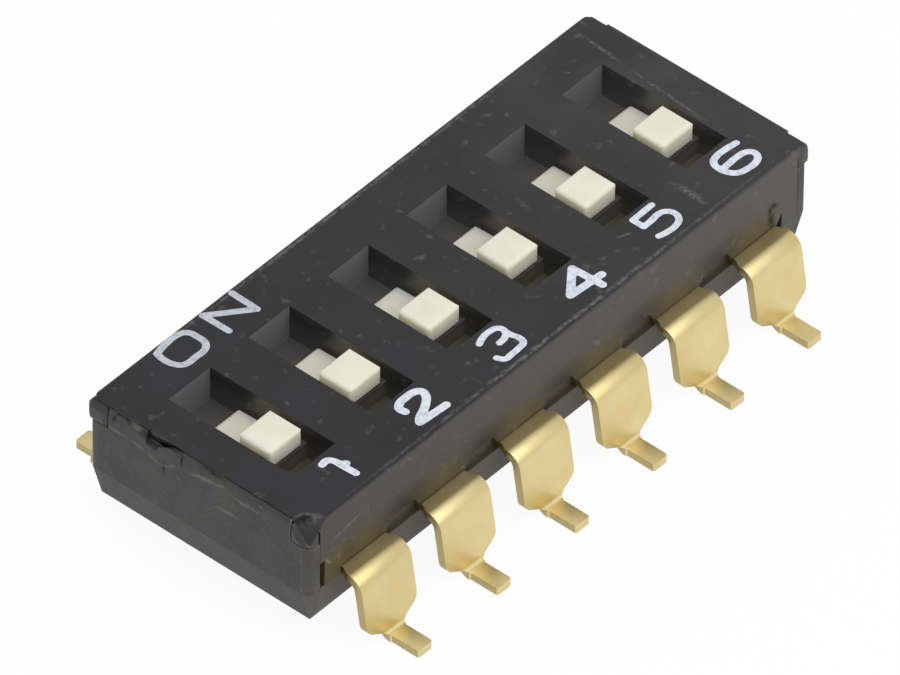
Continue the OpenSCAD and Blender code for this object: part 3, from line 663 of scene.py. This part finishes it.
for sign, (pen_mm, strokes) in signs.items():
    pen = pen_mm * mm
    bpy.ops.object.select_all(action="DESELECT")
    parts = []
    for stroke in strokes:
        bpy.ops.curve.primitive_bezier_curve_add(location=(0, 0, 0))
        line = bpy.context.object
        line.data.bevel_depth, line.data.bevel_resolution = pen, pen_steps
        line.data.use_fill_caps = True
        line.data.resolution_u = curve_steps
        spline = line.data.splines[0]
        spline.bezier_points.add(len(stroke) - len(spline.bezier_points))
        for point, (x, y) in zip(spline.bezier_points, stroke):
            point.co = (x * mm, y * mm, 0)
            point.handle_left_type = point.handle_right_type = "AUTO"
        bpy.ops.object.convert(target="MESH")
        parts.append(line)
        for x, y in (stroke[0], stroke[-1]):
            bpy.ops.mesh.primitive_uv_sphere_add(segments=cap_segments, ring_count=cap_rings,
                                                 radius=pen, location=(x * mm, y * mm, 0))
            parts.append(bpy.context.object)
    for part in parts:
        part.select_set(True)
    bpy.context.view_layer.objects.active = parts[0]
    bpy.ops.object.join()
    glyph = bpy.context.object
    glyph.name = glyph.data.name = "print_" + sign
    bpy.ops.object.transform_apply(location=True, rotation=True, scale=True)
    fused = glyph.modifiers.new("one_film", "REMESH")
    fused.mode, fused.voxel_size = "VOXEL", film_grid
    bpy.ops.object.modifier_apply(modifier=fused.name)
    bpy.ops.object.mode_set(mode="EDIT")
    bpy.ops.mesh.select_all(action="SELECT")
    bpy.ops.transform.resize(value=(1, 1, film / 2 / pen), center_override=(0, 0, 0))
    bpy.ops.transform.translate(value=(0, 0, top_z + film / 2 - film_sunk))
    bpy.ops.object.mode_set(mode="OBJECT")
    bpy.ops.object.shade_smooth()
    glyph.data.materials.clear()
    glyph.data.materials.append(ink)
    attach(glyph, "housing")

# ---- Stage ----
# A plain pale floor under the feet, even soft light from all round, and one large soft lamp
# above. The floor and the lamp are placed in metres.

floor_size = 0.8
floor_z = -0.002 * mm  # just under the feet
plain_white = 0.93  # share of the floor that shows as white, while the rest takes the shadow
room_light = 0.77  # strength of the even light
lamp_place, lamp_size = Vector((-0.03, -0.14, 0.21)), 0.26
lamp_power = 0.33  # watts
nearest, farthest = 0.01, 10.0  # how near and how far the camera sees

paper, paper_shader = new_material("white_paper_floor")
paper_shader.inputs["Base Color"].default_value = linear("#F4F4F4")
paper_shader.inputs["Roughness"].default_value = 0.9
paper_shader.inputs["Specular IOR Level"].default_value = 0.0
ray = add(paper, "LightPath")
seen = add(paper, "Math", {"operation": "MAXIMUM"},
           {0: ray.outputs["Is Camera Ray"], 1: ray.outputs["Is Glossy Ray"]})
share = add(paper, "Math", {"operation": "MULTIPLY", 1: plain_white}, {0: seen.outputs[0]})
glow = add(paper, "Emission", {"Color": linear("#FFFFFF"), "Strength": 1.0})
mixed = add(paper, "MixShader", links={0: share.outputs[0], 1: paper_shader.outputs[0], 2: glow.outputs[0]})
paper_out = [n for n in paper.node_tree.nodes if n.type == "OUTPUT_MATERIAL"][0]
join(paper, mixed.outputs[0], paper_out.inputs["Surface"])
bpy.ops.mesh.primitive_plane_add(size=floor_size, location=(0, 0, floor_z))
floor = bpy.context.object
floor.name = "floor"
floor.data.materials.append(paper)

world = bpy.data.worlds.new("white_room")
world.use_nodes = True
bpy.context.scene.world = world
world.node_tree.nodes["Background"].inputs["Color"].default_value = linear("#FFFFFF")
world.node_tree.nodes["Background"].inputs["Strength"].default_value = room_light

bpy.ops.object.light_add(type="AREA", location=lamp_place)
lamp = bpy.context.object
lamp.name = "soft_lamp"
lamp.data.size = lamp_size
lamp.data.energy = lamp_power
lamp.rotation_euler = (-lamp.location).to_track_quat("-Z", "Y").to_euler()

# The camera stands far off, and looks down at one corner of the switch with a slight roll.
azimuth, elevation, roll = math.radians(-49.25), math.radians(43.32), math.radians(0.585)
aim = Vector((0, -0.07, 3.65)) * mm  # the middle of the top
aim_right, aim_up = 0.075 * mm, 1.437 * mm  # where that lies from the centre of the view
distance = 444.8 * mm
view_width = 900  # pixels
millimetre = 46.98  # pixels that a millimetre takes at the aim
sensor = 36.0  # millimetres
level = Vector((math.cos(azimuth), math.sin(azimuth), 0))
back = Vector((math.sin(azimuth) * math.cos(elevation), -math.cos(azimuth) * math.cos(elevation),
               math.sin(elevation)))
above = back.cross(level)
right = math.cos(roll) * level + math.sin(roll) * above
up = -math.sin(roll) * level + math.cos(roll) * above
spot = aim + distance * back - aim_right * right - aim_up * up
bpy.ops.object.camera_add()
camera = bpy.context.object
camera.data.sensor_width = sensor
camera.data.lens = sensor * millimetre * (distance / mm) / view_width
camera.data.clip_start, camera.data.clip_end = nearest, farthest
camera.matrix_world = Matrix.Translation(spot) @ Matrix((right, up, back)).transposed().to_4x4()
bpy.context.scene.camera = camera
bpy.context.scene.view_settings.view_transform = "Standard"
